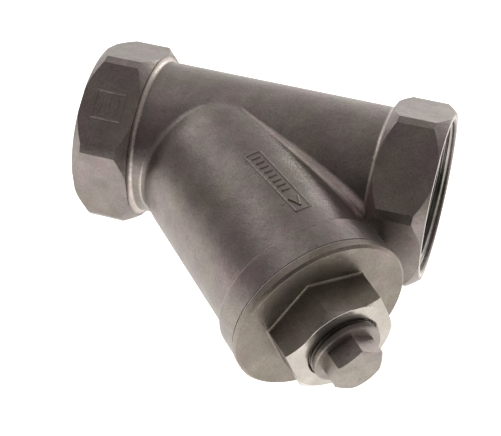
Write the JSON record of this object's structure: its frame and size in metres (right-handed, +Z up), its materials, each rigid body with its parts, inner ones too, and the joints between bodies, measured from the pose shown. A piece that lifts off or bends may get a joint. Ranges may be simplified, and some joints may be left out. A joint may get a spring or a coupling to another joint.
{
  "type": "y strainer",
  "caption": "Stainless steel Y strainer with female threaded hexagon ends, a screen branch at 45 degrees and a screw cap with a drain plug.",
  "frame": {"origin": "centre of the inlet end face", "axes": "+X along the run in the flow direction from inlet to outlet, +Z up as the strainer lies on its side, so the screen branch lies in the XY plane at 45 degrees toward +X and -Y"},
  "size_m": [0.14, 0.1285, 0.0742],
  "materials": {
    "cast_steel": "satin",
    "cap_steel": "satin",
    "plug_steel": "satin",
    "screen_steel": "satin",
    "ptfe": "matte"
  },
  "bodies": {
    "casting": {"body": "cast_steel"},
    "screen": {"screen_tube": "screen_steel", "screen_top_ring": "screen_steel", "screen_bottom_ring": "screen_steel"},
    "gasket": {"cap_gasket": "ptfe"},
    "screw_cap": {"cap": "cap_steel"},
    "seal_tape": {"plug_tape": "ptfe"},
    "plug": {"drain_plug": "plug_steel"}
  },
  "joints": [
    {"name": "screen_draw", "type": "slide", "parent": "casting", "child": "screen", "axis": [0.7071, -0.7071, 0], "range_m": [0, 0.09]},
    {"name": "cap_lift", "type": "slide", "parent": "screen", "child": "gasket", "axis": [0.7071, -0.7071, 0], "range_m": [0, 0.01251]},
    {"name": "cap_turn", "type": "hinge", "parent": "gasket", "child": "screw_cap", "pos_m": [0.11276, -0.07036, 0], "axis": [0.7071, -0.7071, 0], "range_deg": [0, 2250]},
    {"name": "plug_lift", "type": "slide", "parent": "screw_cap", "child": "seal_tape", "axis": [0.7071, -0.7071, 0], "range_m": [0, 0.01634]},
    {"name": "plug_turn", "type": "hinge", "parent": "seal_tape", "child": "plug", "pos_m": [0.12584, -0.08344, 0], "axis": [0.7071, -0.7071, 0], "range_deg": [0, 3240]}
  ],
  "couplings": [
    {"joint": "cap_lift", "follows": "cap_turn", "m_per_rad": 0.00031831},
    {"joint": "plug_lift", "follows": "plug_turn", "m_per_rad": 0.00028875}
  ]
}
